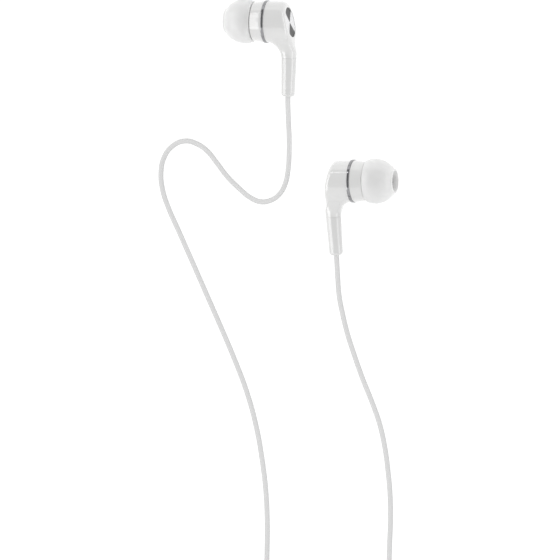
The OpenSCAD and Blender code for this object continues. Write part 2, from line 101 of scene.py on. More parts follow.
def place_camera():
    """A long lens, almost straight above the table and tilted a little towards +X."""
    tilt, distance = math.radians(VIEW_TILT), VIEW_DISTANCE
    target = Vector(VIEW_TARGET) * MM
    back = Vector((math.sin(tilt), 0, math.cos(tilt)))
    across = Vector((math.cos(tilt), 0, -math.sin(tilt)))
    camera = bpy.data.objects.new("camera", bpy.data.cameras.new("camera"))
    bpy.context.scene.collection.objects.link(camera)
    facing = Matrix((across, (0, 1, 0), back)).transposed().to_4x4()
    camera.matrix_world = Matrix.Translation(target + back * distance) @ facing
    camera.data.sensor_width = SENSOR
    camera.data.lens = LENS
    camera.data.clip_start, camera.data.clip_end = 0.01, 20
    bpy.context.scene.camera = camera


place_camera()


# ---- Materials ----


def new_material(name, color, roughness, metallic=0.0, **sockets):
    """A material with its own nodes, and the values that are the same all over set on the shader's sockets."""
    made = bpy.data.materials.new(name)
    made.use_nodes = True
    made.node_tree.nodes.clear()
    shader = made.node_tree.nodes.new("ShaderNodeBsdfPrincipled")
    output = made.node_tree.nodes.new("ShaderNodeOutputMaterial")
    made.node_tree.links.new(shader.outputs[0], output.inputs[0])
    shader.inputs["Base Color"].default_value = (*color, 1)
    shader.inputs["Roughness"].default_value = roughness
    shader.inputs["Metallic"].default_value = metallic
    for socket, value in sockets.items():
        shader.inputs[socket.replace("_", " ")].default_value = value
    return made, shader


def noise(tree, where, scale, detail=3.0, dimensions="3D"):
    made = tree.nodes.new("ShaderNodeTexNoise")
    made.noise_dimensions = dimensions
    made.inputs["Scale"].default_value = scale
    made.inputs["Detail"].default_value = detail
    tree.links.new(where, made.inputs["W" if dimensions == "1D" else "Vector"])
    return made.outputs["Fac"]


def spread(tree, value, low, high):
    """Maps the middle of a noise value onto low to high."""
    made = tree.nodes.new("ShaderNodeMapRange")
    made.inputs["From Min"].default_value, made.inputs["From Max"].default_value = 0.3, 0.7
    made.inputs["To Min"].default_value, made.inputs["To Max"].default_value = low, high
    tree.links.new(value, made.inputs["Value"])
    return made.outputs["Result"]


def tint(tree, value, color, amount):
    """A colour that wanders a little about the one given."""
    made = tree.nodes.new("ShaderNodeMix")
    made.data_type = "RGBA"
    dark, light = (tuple(min(1.0, c * k) for c in color) for k in (1 - amount, 1 + amount))
    made.inputs["A"].default_value, made.inputs["B"].default_value = (*dark, 1), (*light, 1)
    tree.links.new(spread(tree, value, 0.0, 1.0), made.inputs["Factor"])
    return made.outputs["Result"]


def height(tree, shader, value, depth, strength=1.0):
    made = tree.nodes.new("ShaderNodeBump")
    made.inputs["Strength"].default_value = strength
    made.inputs["Distance"].default_value = depth
    tree.links.new(value, made.inputs["Height"])
    tree.links.new(made.outputs["Normal"], shader.inputs["Normal"])


BROAD = 14  # how many times as wide as the grain the mottling is


def moulded(name, color, roughness, grain=0.25, depth=0.002, mottle=0.012, wander=0.05, metallic=0.0, **sockets):
    """Plastic, rubber or plain metal: fine grain in millimetres, soft mottling and a wandering gloss."""
    made, shader = new_material(name, color, roughness, metallic, **sockets)
    tree = made.node_tree
    where = tree.nodes.new("ShaderNodeTexCoord").outputs["Object"]
    broad = noise(tree, where, 1 / (BROAD * grain * MM), 4)
    fine = noise(tree, where, 1 / (grain * MM), 2)
    tree.links.new(tint(tree, broad, color, mottle), shader.inputs["Base Color"])
    tree.links.new(
        spread(tree, broad, max(0.02, roughness - wander), roughness + wander), shader.inputs["Roughness"]
    )
    height(tree, shader, fine, depth * MM)
    return made


PAINTED_REFLECTION_EDGE, PAINTED_DARK_REFLECTION = (0.66, 0.78), 0.05  # painted reflection: cosine to the piece's Y where the dark sectors begin, and their painted dark tone


def spun_metal(name, color, roughness, ring_width):
    """Metal turned on a lathe: fine rings about the piece's own Z axis, and a painted reflection in its colour: the
    two dark and two light sectors that such rings mirror from the room, with the dark ones towards the piece's Y."""
    made, shader = new_material(name, color, roughness, 1.0, Anisotropic=0.8)
    tree = made.node_tree
    where = tree.nodes.new("ShaderNodeTexCoord").outputs["Object"]
    flat = tree.nodes.new("ShaderNodeVectorMath")
    flat.operation = "MULTIPLY"
    flat.inputs[1].default_value = (1, 1, 0)
    tree.links.new(where, flat.inputs[0])
    radius = tree.nodes.new("ShaderNodeVectorMath")
    radius.operation = "LENGTH"
    tree.links.new(flat.outputs["Vector"], radius.inputs[0])
    rings = noise(tree, radius.outputs["Value"], 1 / (ring_width * MM), 3, "1D")
    unit = tree.nodes.new("ShaderNodeVectorMath")
    unit.operation = "NORMALIZE"
    tree.links.new(flat.outputs["Vector"], unit.inputs[0])
    along = tree.nodes.new("ShaderNodeVectorMath")
    along.operation = "DOT_PRODUCT"
    along.inputs[1].default_value = (0, 1, 0)
    tree.links.new(unit.outputs["Vector"], along.inputs[0])
    size = tree.nodes.new("ShaderNodeMath")
    size.operation = "ABSOLUTE"
    tree.links.new(along.outputs["Value"], size.inputs[0])
    # Painted reflection: a mask for the two sectors towards the piece's Y, where the metal's colour is darkened
    # however it is lit
    painted_reflection_mask = tree.nodes.new("ShaderNodeMapRange")
    painted_reflection_mask.interpolation_type = "SMOOTHSTEP"
    painted_reflection_mask.inputs["From Min"].default_value, painted_reflection_mask.inputs["From Max"].default_value = PAINTED_REFLECTION_EDGE
    tree.links.new(size.outputs[0], painted_reflection_mask.inputs["Value"])
    painted_reflection_mix = tree.nodes.new("ShaderNodeMix")
    painted_reflection_mix.data_type = "RGBA"
    tree.links.new(painted_reflection_mask.outputs["Result"], painted_reflection_mix.inputs["Factor"])
    tree.links.new(tint(tree, rings, color, 0.1), painted_reflection_mix.inputs["A"])
    tree.links.new(tint(tree, rings, tuple(c * PAINTED_DARK_REFLECTION for c in color), 0.15), painted_reflection_mix.inputs["B"])
    tree.links.new(painted_reflection_mix.outputs["Result"], shader.inputs["Base Color"])
    tangent = tree.nodes.new("ShaderNodeTangent")
    tangent.direction_type, tangent.axis = "RADIAL", "Z"
    tree.links.new(tangent.outputs[0], shader.inputs["Tangent"])
    tree.links.new(spread(tree, rings, roughness - 0.06, roughness + 0.06), shader.inputs["Roughness"])
    height(tree, shader, rings, 0.002 * MM)
    return made


def felted(name, color):
    """Felt: a deep tangle of fibres."""
    made, shader = new_material(name, color, 0.95, Sheen_Weight=0.3)
    tree = made.node_tree
    where = tree.nodes.new("ShaderNodeTexCoord").outputs["Object"]
    fibres = noise(tree, where, 1 / (0.08 * MM), 6)
    tree.links.new(tint(tree, fibres, color, 0.4), shader.inputs["Base Color"])
    height(tree, shader, fibres, 0.03 * MM)
    return made


MATERIALS = {
    "gloss_white": moulded("gloss_white", (0.8, 0.8, 0.795), 0.09, 0.5, 0.0008, Coat_Weight=0.5, Coat_Roughness=0.03),
    "soft_white": moulded("soft_white", (0.79, 0.79, 0.785), 0.1, 0.3, 0.001, Coat_Weight=0.4, Coat_Roughness=0.04),
    "silicone": moulded(
        "silicone", (0.865, 0.865, 0.86), 0.42, 0.15, 0.003,
        Subsurface_Weight=0.7, Subsurface_Radius=(1, 1, 1), Subsurface_Scale=0.0012,
    ),
    "bright_ring": moulded("bright_ring", (0.3, 0.3, 0.31), 0.1, 0.4, 0.001, 0.03, 0.04, 1.0),
    "spun_disc": spun_metal("spun_disc", (0.74, 0.74, 0.75), 0.26, 0.06),
    "woven_mesh": moulded("woven_mesh", (0.5, 0.5, 0.51), 0.3, 0.05, 0.002, 0.06, 0.08, 1.0),
    "plain_steel": moulded("plain_steel", (0.56, 0.56, 0.57), 0.35, 0.1, 0.003, 0.06, 0.08, 1.0),
    "plated_magnet": moulded("plated_magnet", (0.62, 0.62, 0.64), 0.2, 0.2, 0.002, 0.04, 0.06, 1.0),
    "copper": moulded("copper", (0.7, 0.33, 0.16), 0.3, 0.08, 0.004, 0.1, 0.08, 1.0),
    "clear_film": moulded("clear_film", (0.74, 0.7, 0.58), 0.12, 0.3, 0.002, 0.03),
    "green_board": moulded("green_board", (0.03, 0.22, 0.09), 0.25, 0.15, 0.004, 0.12),
    "black_felt": felted("black_felt", (0.02, 0.02, 0.02)),
    "black_plastic": moulded("black_plastic", (0.018, 0.018, 0.02), 0.38, 0.12, 0.004, 0.1),
    "insert_plastic": moulded("insert_plastic", (0.72, 0.68, 0.56), 0.4, 0.12, 0.004, 0.03),
    # A clear skin that takes up a little light, so that a cord's edges look darker than its middle
    "cord_jacket": moulded(
        "cord_jacket", (0.97, 0.97, 0.97), 0.35, 1.2, 0.0003, 0.006, 0.03, Specular_IOR_Level=0.08,
        Coat_Weight=1.0, Coat_Roughness=0.3, Coat_IOR=1.02, Coat_Tint=(0.85, 0.85, 0.85, 1),
    ),
    "tie_strip": moulded("tie_strip", (0.6, 0.6, 0.6), 0.5, 0.12, 0.008, 0.04),
    "gold_plate": moulded("gold_plate", (0.83, 0.6, 0.27), 0.16, 0.2, 0.0015, 0.04, 0.05, 1.0),
}
SLOT_OF = {row["node"]: row["material_slot"] for row in frame["record"]["subparts"]}
IN_OWN_FRAME = ("spun_disc",)  # their rings and painted reflection sectors are laid out round the piece's own axis
BODY_OF = {node: body for body, nodes in frame["record"]["behaviour"]["bodies"].items() for node in nodes}


# ---- Shapes ----


def eased(points, radius, steps=5, closed=True):
    """The outline with its corners rounded. A point's third number, where it has one, is its own radius."""
    made, count = [], len(points)
    for i, point in enumerate(points):
        here = Vector(point[:2])
        wanted = point[2] if len(point) > 2 else radius
        if wanted <= 0 or (not closed and i in (0, count - 1)):
            made.append(tuple(here))
            continue
        before = Vector(points[i - 1][:2]) - here
        after = Vector(points[(i + 1) % count][:2]) - here
        half = before.angle(after) / 2
        reach = min(wanted / math.tan(half), 0.48 * before.length, 0.48 * after.length)
        start, end = here + before.normalized() * reach, here + after.normalized() * reach
        for k in range(steps + 1):
            t = k / steps
            made.append(tuple((1 - t) ** 2 * start + 2 * t * (1 - t) * here + t * t * end))
    return made


def spin(profile, segments=128, closed=True):
    """A profile of (radius, height) points turned about Z."""
    verts, faces, rows = [], [], []
    for radius, z in profile:
        count = 1 if radius < 1e-6 else segments
        rows.append([len(verts) + k for k in range(count)])
        for k in range(count):
            a = 2 * math.pi * k / segments
            verts.append((radius * math.cos(a), radius * math.sin(a), z))
    for i in range(len(rows) if closed else len(rows) - 1):
        low, high = rows[i], rows[(i + 1) % len(rows)]
        if len(low) == 1 and len(high) == 1:
            continue
        for k in range(segments):
            n = (k + 1) % segments
            corners = [low[k % len(low)], low[n % len(low)], high[n % len(high)], high[k % len(high)]]
            faces.append(list(dict.fromkeys(corners)))
    return verts, faces


def rings_to_mesh(rings):
    """Closed rings of points, joined in order, with both ends capped."""
    count = len(rings[0])
    verts = [p for ring in rings for p in ring]
    faces = [
        [i * count + k, i * count + (k + 1) % count, (i + 1) * count + (k + 1) % count, (i + 1) * count + k]
        for i in range(len(rings) - 1) for k in range(count)
    ]
    faces += [list(range(count)), list(range(len(verts) - count, len(verts)))]
    return verts, faces


def pipe(route, radius, sides=8):
    """A round wire along a route."""
    rings, points = [], [Vector(p) for p in route]
    for i, point in enumerate(points):
        along = (points[min(i + 1, len(points) - 1)] - points[max(i - 1, 0)]).normalized()
        across = along.cross(Vector((0, 0, 1)) if abs(along.z) < 0.9 else Vector((1, 0, 0))).normalized()
        up = across.cross(along)
        rings.append([
            tuple(point + radius * (math.cos(a) * across + math.sin(a) * up))
            for a in (2 * math.pi * k / sides for k in range(sides))
        ])
    return rings_to_mesh(rings)


def joined(*parts):
    verts, faces = [], []
    for v, f in parts:
        faces += [[i + len(verts) for i in face] for face in f]
        verts += list(v)
    return verts, faces


def face_outward(mesh):
    work = bmesh.new()
    work.from_mesh(mesh)
    bmesh.ops.recalc_face_normals(work, faces=work.faces)
    work.to_mesh(mesh)
    work.free()


def add(name, shape, place, body, slot, stands_for=(), sharp=35.0):
    """Makes a piece from vertices in millimetres, puts it in place and has it ride on its body."""
    mesh = bpy.data.meshes.new(name)
    mesh.from_pydata([Vector(v) * MM for v in shape[0]], [], shape[1])
    if slot not in IN_OWN_FRAME:
        mesh.transform(place)
        place = Matrix()
    face_outward(mesh)
    mesh.shade_smooth()
    mesh.set_sharp_from_angle(angle=math.radians(sharp))
    mesh.materials.append(MATERIALS[slot])
    piece = bpy.data.objects.new(name, mesh)
    bpy.context.scene.collection.objects.link(piece)
    piece.matrix_world = place
    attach(piece, body)
    if stands_for:
        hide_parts(*stands_for)
    return piece


def bored(shape, holes):
    """The shape with straight round holes (start, end, radius) cut through it, in millimetres."""
    made = []
    for verts, faces in [shape] + [pipe((a, b), r, 48) for a, b, r in holes]:
        mesh = bpy.data.meshes.new("cutting")
        mesh.from_pydata([tuple(v) for v in verts], [], faces)
        face_outward(mesh)
        made.append(bpy.data.objects.new("cutting", mesh))
        bpy.context.scene.collection.objects.link(made[-1])
    for tool in made[1:]:
        cut = made[0].modifiers.new("cut", "BOOLEAN")
        cut.operation, cut.solver, cut.object = "DIFFERENCE", "EXACT", tool
    bpy.context.view_layer.update()
    result = bpy.data.meshes.new_from_object(made[0].evaluated_get(bpy.context.evaluated_depsgraph_get()))
    verts, faces = [tuple(v.co) for v in result.vertices], [list(p.vertices) for p in result.polygons]
    for cutting in made:
        bpy.data.objects.remove(cutting)
    return verts, faces


# ---- Cords ----

LEFT_ROUTE = [
    (-7.8, 6, 1.25), (-7.8, 2, 0.75), (-7.6, -2.5, 0.7), (-7.6, -7, 0.7),
    (-7.9, -11.5, 0.7), (-8.7, -15.5, 0.7), (-10.5, -18.6, 0.7), (-13.2, -20.3, 0.7),
    (-16, -20.6, 0.7), (-19, -19.4, 0.7), (-22.5, -16.6, 0.7), (-26, -13.2, 0.7),
    (-29, -9.4, 0.7), (-32, -5.9, 0.7), (-35, -4, 0.7), (-38.5, -3.2, 0.7), (-42, -4.5, 0.7),
    (-44.6, -7.6, 0.7), (-45.6, -12, 0.7), (-45.1, -17, 0.7), (-43.4, -22, 0.7),
    (-40.5, -28.2, 0.7), (-36.3, -37.2, 0.7), (-32, -46.5, 0.7), (-27.6, -56, 0.7),
    (-23.6, -65, 0.7), (-20.2, -73.5, 0.7), (-17.4, -83, 0.7), (-15.5, -93, 0.7),
    (-14.4, -102, 0.7), (-14, -111, 0.7), (-14.1, -121, 0.75),
]
LEFT_ROUTE_END = [
    (-4, -138.5, 2.3), (-1.4, -139.2, 2), (0.7, -141, 1.8),
    (1.6, -143.5, 1.7), (1.75, -147, 1.7), (1.75, -160, 1.7), (1.75, -175.5, 1.7),
]
RIGHT_ROUTE = [
    (6.42, -38.6, 1.18), (6.5, -42, 0.75), (6.9, -47, 0.7), (7.9, -52, 0.7),
    (9.3, -57.5, 0.7), (11.3, -63.5, 0.7), (13.7, -70, 0.7), (16.2, -76, 0.7),
    (18.5, -82.3, 0.7), (20, -88.8, 0.7), (20.9, -95.3, 0.7), (21.5, -102, 0.7),
    (21.6, -109, 0.7), (21.3, -117, 0.7), (21.2, -124, 0.8),
]
RIGHT_ROUTE_END = [
    (10, -139.5, 2.3), (7.4, -140.2, 2), (5.3, -142, 1.8),
    (4.4, -144.5, 1.7), (4.25, -148, 1.7), (4.25, -160, 1.7), (4.25, -175.5, 1.7),
]
MAIN_ROUTE = [
    (3, -191.5, 1.7), (3, -195.5, 1.3), (2.5, -199.2, 1), (0.4, -203.4, 1), (-3.3, -206.1, 1),
    (-8.1, -207, 1), (-12.9, -206.1, 1), (-16.6, -203.4, 1), (-18.7, -199.2, 1),
    (-19.2, -194, 1), (-19.2, -180, 1), (-19.2, -165, 1), (-19.2, -150, 1.05),
]
MAIN_ROUTE_END = [
    (-44.6, -142, 7), (-43.9, -147, 5.7), (-42.3, -152, 4.1), (-40.65, -156.5, 3.1), (-40.5, -160.5, 3),
]


def eased_step(t):
    """Rises from 0 to 1 as t does, with no kink at either end."""
    t = max(0.0, min(1.0, t))
    return t * t * (3 - 2 * t)


def coil(center, radius, start, turns, slots, steps=24):
    """Turns that lie beside and on each other. slots holds each turn's (offset from radius, height), and near the
    end of a turn the cord crosses over to the next one's. turns is below 0 for a clockwise coil."""
    points = []
    for i in range(round(abs(turns) * steps) + 1):
        t = i / steps
        n = min(int(t), len(slots) - 1)
        over = eased_step((t - n - 0.8) / 0.2)
        (r0, z0), (r1, z1) = slots[n], slots[min(n + 1, len(slots) - 1)]
        r, z = radius + r0 + (r1 - r0) * over, z0 + (z1 - z0) * over
        a = math.radians(start) + 2 * math.pi * t * (1 if turns > 0 else -1)
        points.append((center[0] + r * math.cos(a), center[1] + r * math.sin(a), z))
    return points


def bud_exit(side, down):
    """The point on the stem's axis that is this far below the barrel's axis, in the row frame, in metres."""
    return BUDS[side] @ DOWN_STEM @ Vector((0, 0, down * MM))


def lay_cord(name, points, diameter, nodes):
    """A round cord along points in millimetres. diameter is in millimetres."""
    curve = bpy.data.curves.new(name, "CURVE")
    curve.dimensions = "3D"
    curve.bevel_depth = diameter / 2 * MM
    curve.bevel_resolution = 4
    curve.resolution_u = 5
    curve.use_fill_caps = True
    spline = curve.splines.new("BEZIER")
    spline.bezier_points.add(len(points) - 1)
    for knot, point in zip(spline.bezier_points, points):
        knot.co = Vector(point) * MM
        knot.handle_left_type = knot.handle_right_type = "AUTO"
    curve.materials.append(MATERIALS["cord_jacket"])
    piece = bpy.data.objects.new(name, curve)
    bpy.context.scene.collection.objects.link(piece)
    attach(piece, "harness")
    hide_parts(*nodes)
    return piece


def branch_points(side, route, coiled, route_end):
    """A branch cord's whole route, which starts inside the stem's end and leaves it straight."""
    start = [tuple(bud_exit(side, d) / MM) for d in (STEM_END - 0.3, STEM_END + 1.4)]
    return start + route + coiled + route_end


LEFT_POINTS = branch_points(
    "left", LEFT_ROUTE, coil(LEFT_COIL_AT, LEFT_COIL_R, 180, 1.25, [(0, 1.05), (0, 2.45)]), LEFT_ROUTE_END
)
RIGHT_POINTS = branch_points(
    "right", RIGHT_ROUTE,
    coil(RIGHT_COIL_AT, RIGHT_COIL_R, 0, -3.25, [(0.7, 1.05), (-0.7, 1.05), (-0.7, 2.45), (0.7, 2.45)]),
    RIGHT_ROUTE_END
)
COLUMNS = (2, 0, -2)
MAIN_SLOTS = [
    (column, 1.35 + 2 * layer)
    for layer in range(4) for column in (COLUMNS if layer % 2 == 0 else COLUMNS[::-1])
]
MAIN_POINTS = MAIN_ROUTE + coil(MAIN_COIL_AT, MAIN_COIL_R, 0, 11.5, MAIN_SLOTS) + MAIN_ROUTE_END


# ---- Pieces on the cords ----


def stadium(half_gap, radius, count=64):
    """A ring of points round two circles side by side, as (x, z)."""
    points = []
    for k in range(count):
        a = 2 * math.pi * (k + 0.5) / count
        points.append((math.copysign(half_gap, math.cos(a)) + radius * math.cos(a), radius * math.sin(a)))
    return points


def rounded_ends(s, length, drop, reach):
    """How much less the radius is at s, where both ends of a piece are rounded off."""
    edge = min(s, length - s)
    return drop * (1 - math.sqrt(1 - (1 - min(edge / reach, 1)) ** 2))


def grooved(radius, s, grooves, depth, width):
    """The radius at s, where a piece has shallow grooves round it."""
    for groove in grooves:
        radius -= depth * math.exp(-((s - groove) / width) ** 2)
    return radius


def splitter_shape():
    """Wide enough for the pair of cords at its top, and narrowed to the joined cord at its lower end."""
    rings, steps = [], 120
    for i in range(steps + 1):
        s = SPLITTER_LENGTH * i / steps
        t = eased_step((s - 4.5) / 10.5)
        radius = 1.7 - 0.25 * t - rounded_ends(s, SPLITTER_LENGTH, 0.4, 0.5)
        radius = grooved(radius, s, (12.2, 13.3, 14.4, 15.5), 0.13, 0.16)
        rings.append([(PAIR_X + x, SPLITTER_Y - s, PAIR_Z + z) for x, z in stadium(1.6 * (1 - t), radius)])
    return rings_to_mesh(rings)


def slider_shape():
    rings, steps = [], 70
    for i in range(steps + 1):
        s = SLIDER_LENGTH * i / steps
        radius = 1.6 - rounded_ends(s, SLIDER_LENGTH, 0.35, 0.45)
        radius = grooved(radius, s, (2.7, 3.5, 4.3), 0.12, 0.17)
        rings.append([(PAIR_X + x, SLIDER_Y + s, PAIR_Z + z) for x, z in stadium(1.7, radius)])
    low, high, gap = SLIDER_Y - 1.5, SLIDER_Y + SLIDER_LENGTH + 1.5, 1.25
    holes = [((PAIR_X + x, low, PAIR_Z), (PAIR_X + x, high, PAIR_Z), 0.9) for x in (-gap, gap)]
    return bored(rings_to_mesh(rings), holes)


def strap_shape(x0, x1, top, width, thick=0.35, corner=0.7):
    """A flat strip wrapped round a bundle, from x0 to x1 and up to top inside it, with its end lapped over."""
    outline = eased(
        [(x0 - thick / 2, thick / 2), (x1 + thick / 2, thick / 2), (x1 + thick / 2, top + thick * 1.5),
         (x0 - thick / 2, top + thick * 1.5)], corner, 6
    )
    rings = []
    for i, (x, z) in enumerate(outline):
        before, after = Vector(outline[i - 1]), Vector(outline[(i + 1) % len(outline)])
        along = (after - before).normalized()
        out = Vector((along.y, -along.x))
        section = eased([(-thick / 2, -width / 2), (thick / 2, -width / 2), (thick / 2, width / 2),
                         (-thick / 2, width / 2)], 0.1, 2)
        rings.append([(x + out.x * a, b, z + out.y * a) for a, b in section])
    verts, faces = rings_to_mesh(rings)
    count = len(rings[0])
    faces = faces[:-2] + [
        [len(verts) - count + k, len(verts) - count + (k + 1) % count, (k + 1) % count, k] for k in range(count)
    ]
    return verts, faces


def make_plug():
    """The plug's grip with its strain relief, its three contacts and the insulators between them."""
    contact_r, core_r, inner_r, collar_r = 1.75, 0.65, 1.25, 2.6
    grip_start, grip_end, collar_end, sleeve_end = 7, 24, 24.8, 31.8
    insulator, ring_start, ring_length, tip_start = 0.6, 32.4, 2, 35.0
    relief, steps = [], 56
    for i in range(steps + 1):
        s = grip_start * i / steps
        radius = 1.5 + 0.7 * eased_step(s / grip_start)
        relief.append((grooved(radius, s, (1.6, 2.7, 3.8, 4.9, 6.0), 0.14, 0.16), s))
    grip = eased(
        [(2.2, grip_start, 0.1), (2.55, 7.1, 0.1), (3, 8.1, 0.5), (2.88, 15.5, 6), (3, 22.9, 1),
         (collar_r, grip_end, 0.3), (0.6, grip_end, 0)], 0.2, closed=False
    )
    pieces = [add(
        "plug_handle", spin([(1.1, 0.12), (1.38, 0)] + relief[1:] + grip + [(0.6, 0.12)], 96),
        ALONG_PLUG, "harness", "soft_white", ["plug_grip"]
    )]
    sleeve = eased(
        [(inner_r, grip_end, 0), (collar_r, grip_end), (collar_r, collar_end), (contact_r, collar_end, 0.02),
         (contact_r, sleeve_end, 0.03), (inner_r, sleeve_end, 0)], 0.12
    )
    pieces.append(add(
        "plug_collar_and_sleeve", spin(sleeve, 96), ALONG_PLUG, "harness", "gold_plate", ["plug_sleeve"]
    ))
    bands = [
        spin(eased([(core_r, z), (contact_r, z, 0.02), (contact_r, z + insulator, 0.02), (core_r, z + insulator)],
                   0.0), 96)
        for z in (sleeve_end, ring_start + ring_length)
    ]
    pieces.append(add("plug_bands", joined(*bands), ALONG_PLUG, "harness", "black_plastic", ["plug_insulators"]))
    ring = eased(
        [(core_r, ring_start), (contact_r, ring_start, 0.04), (contact_r, ring_start + ring_length, 0.04),
         (core_r, ring_start + ring_length)], 0.0
    )
    pieces.append(add("plug_ring", spin(ring, 96), ALONG_PLUG, "harness", "gold_plate", ["plug_ring_contact"]))
    nose = eased(
        [(0, tip_start - 6, 0), (0.6, tip_start - 6, 0), (0.6, tip_start, 0), (contact_r, tip_start, 0.04),
         (contact_r, 35.3, 0.08), (1.3, 36.5, 0.25), (1.25, 36.7, 0.2), (1.62, 37.2, 0.15), (1.68, 37.45, 0.15),
         (1.55, 37.75, 0.2), (0.5, 38.7, 0.35), (0, 38.8, 0)], 0.1, closed=False
    )
    pieces.append(add(
        "plug_nose", spin(nose, 96, closed=False), ALONG_PLUG, "harness", "gold_plate", ["plug_tip_contact"]
    ))
    return pieces


def make_cord_pieces():
    """The slider, splitter, ties and plug. Returns the pieces that go with each cord."""
    add("cord_slider_body", slider_shape(), Matrix(), "slider", "soft_white", ["cord_slider"])
    splitter = add("splitter_body", splitter_shape(), Matrix(), "harness", "soft_white", ["y_splitter"])
    branch_tie = add(
        "branch_tie_strip", strap_shape(-0.15, 6.55, 2.9, 2.8), move(0, LEFT_COIL_AT[1], 0), "harness", "tie_strip",
        ["branch_coil_tie"]
    )
    main_tie = add(
        "main_tie_strip", strap_shape(7.3, 13.9, 8.1, 4.6), move(*MAIN_COIL_AT, 0) @ turn("Z", 90), "harness",
        "tie_strip", ["main_coil_tie"]
    )
    return splitter, branch_tie, main_tie, make_plug()


splitter, branch_tie, main_tie, plug = make_cord_pieces()
lay_cord(
    "left_branch_cord", LEFT_POINTS, BRANCH_D,
    ["left_cord", "left_cord_coil"]
)
lay_cord(
    "right_branch_cord", RIGHT_POINTS, BRANCH_D,
    ["right_cord", "right_cord_coil"]
)
lay_cord(
    "joined_cord", MAIN_POINTS, MAIN_D,
    ["main_cord", "main_cord_coil"]
)


# ---- Rear shell ----


def round_max(a, b, radius):
    """Where two solids cross, with the edge between them rounded."""
    reach = np.hypot(np.maximum(radius + a, 0), np.maximum(radius + b, 0))
    return np.minimum(-radius, np.maximum(a, b)) + reach


def blended_min(a, b, size):
    """Two solids together, with the corner between them filled."""
    mix = np.maximum(size - np.abs(a - b), 0) / size
    return np.minimum(a, b) - mix * mix * mix * size / 6


# Down the stem: distance from the barrel's axis, back edge, front edge and half thickness, across the stem's axis
STEM_TABLE = np.array([
    (4.0, -2.0, 6.2, 3.95), (5.5, -2.02, 4.9, 3.15), (6.3, -2.04, 4.0, 2.86), (7.0, -2.06, 3.3, 2.65),
    (7.9, -2.08, 2.72, 2.42), (8.8, -2.1, 2.32, 2.24), (SEAM, -2.13, 2.13, 2.13),
])
STEM_FITS = [np.polyfit(STEM_TABLE[:, 0], STEM_TABLE[:, k], deg=4) for k in (1, 2, 3)]
ELBOW_BLEND, REAR_ROUND = 1.8, 1.25  # how far barrel and stem run into each other, and the rear edge's radius


def shell_field(x, y, z):
    """Below 0 inside the rear shell and upper stem, in the bud's own frame, in millimetres."""
    lean, slant = math.radians(STEM_LEAN), math.radians(SLANT)
    down = (x + STEM_X) * math.sin(lean) - y * math.cos(lean)
    across = (x + STEM_X) * math.cos(lean) + y * math.sin(lean)
    held = np.clip(down, STEM_TABLE[0, 0], SEAM)
    rear, front, half = (np.polyval(fit, held) for fit in STEM_FITS)
    middle, wide = (rear + front) / 2, (front - rear) / 2
    square = 2 + 1.3 * np.clip((SEAM - held) / 4, 0, 1)  # the stem's section is squarer near the barrel
    sides, tops = np.abs((across - middle) / wide), np.abs(z / half)
    tube = ((sides ** square + tops ** square) ** (1 / square) - 1) * np.minimum(wide, half)
    tube = np.maximum(tube, 1.0 - down)
    barrel = np.hypot(y, z) - BARREL_R
    lower = np.clip((down - 6.5) / 3, 0, 1)  # the rear edge's rounding fades out down the stem
    back = -(x + BACK_X) * math.cos(slant) + y * math.sin(slant) - 1.4 * lower * lower * (3 - 2 * lower)
    return round_max(blended_min(barrel, tube, ELBOW_BLEND), back, REAR_ROUND)


def slope(field, p, step=0.01):
    """The field's gradient at points p."""
    parts = []
    for k in range(3):
        shift = np.zeros(3)
        shift[k] = step
        parts.append((field(*(p + shift).T) - field(*(p - shift).T)) / (2 * step))
    return np.stack(parts, 1)


def surface(field, low, high, pitch):
    """Quads over the surface where the field is 0, each vertex pulled onto it."""
    sizes = [int(math.ceil((last - first) / pitch)) + 1 for first, last in zip(low, high)]
    lines = [first + pitch * np.arange(count) for first, count in zip(low, sizes)]
    grid = np.stack(np.meshgrid(*lines, indexing="ij"), -1)
    inside = field(grid[..., 0], grid[..., 1], grid[..., 2]) < 0
    corners = [
        inside[i:sizes[0] - 1 + i, j:sizes[1] - 1 + j, k:sizes[2] - 1 + k]
        for i in (0, 1) for j in (0, 1) for k in (0, 1)
    ]
    total = sum(corner.astype(int) for corner in corners)
    mixed = (total > 0) & (total < 8)
    number = np.full(mixed.shape, -1)
    number[mixed] = np.arange(mixed.sum())
    verts = grid[:-1, :-1, :-1][mixed] + pitch / 2
    for _ in range(4):  # each pass brings the vertices closer to the surface
        steepest = slope(field, verts)
        step = field(*verts.T)[:, None] * steepest / np.maximum((steepest * steepest).sum(1), 1e-9)[:, None]
        verts = verts - np.clip(step, -pitch, pitch)
    faces = []
    for axis in range(3):
        a, b = [k for k in range(3) if k != axis]
        first = np.take(inside, range(sizes[axis] - 1), axis)
        second = np.take(inside, range(1, sizes[axis]), axis)
        for cell in np.argwhere(first != second):
            if 0 in (cell[a], cell[b]) or cell[a] >= sizes[a] - 1 or cell[b] >= sizes[b] - 1:
                continue
            ring = []
            for da, db in ((0, 0), (1, 0), (1, 1), (0, 1)):
                near = cell.copy()
                near[a] -= da
                near[b] -= db
                ring.append(int(number[tuple(near)]))
            faces.append(ring)
    return verts, faces


def trimmed(verts, faces, planes):
    """Cuts off what lies beyond each plane (point, normal) and closes the cut."""
    work = bmesh.new()
    made = [work.verts.new(v) for v in verts]
    for face in faces:
        work.faces.new([made[i] for i in face])
    bmesh.ops.recalc_face_normals(work, faces=work.faces)
    for point, normal in planes:
        cut = bmesh.ops.bisect_plane(
            work, geom=work.verts[:] + work.edges[:] + work.faces[:], plane_co=point, plane_no=normal,
            clear_outer=True, dist=1e-5
        )
        edges = [e for e in cut["geom_cut"] if isinstance(e, bmesh.types.BMEdge)]
        bmesh.ops.holes_fill(work, edges=edges, sides=0)
    work.verts.index_update()
    result = [tuple(v.co) for v in work.verts], [[v.index for v in f.verts] for f in work.faces]
    work.free()
    return result


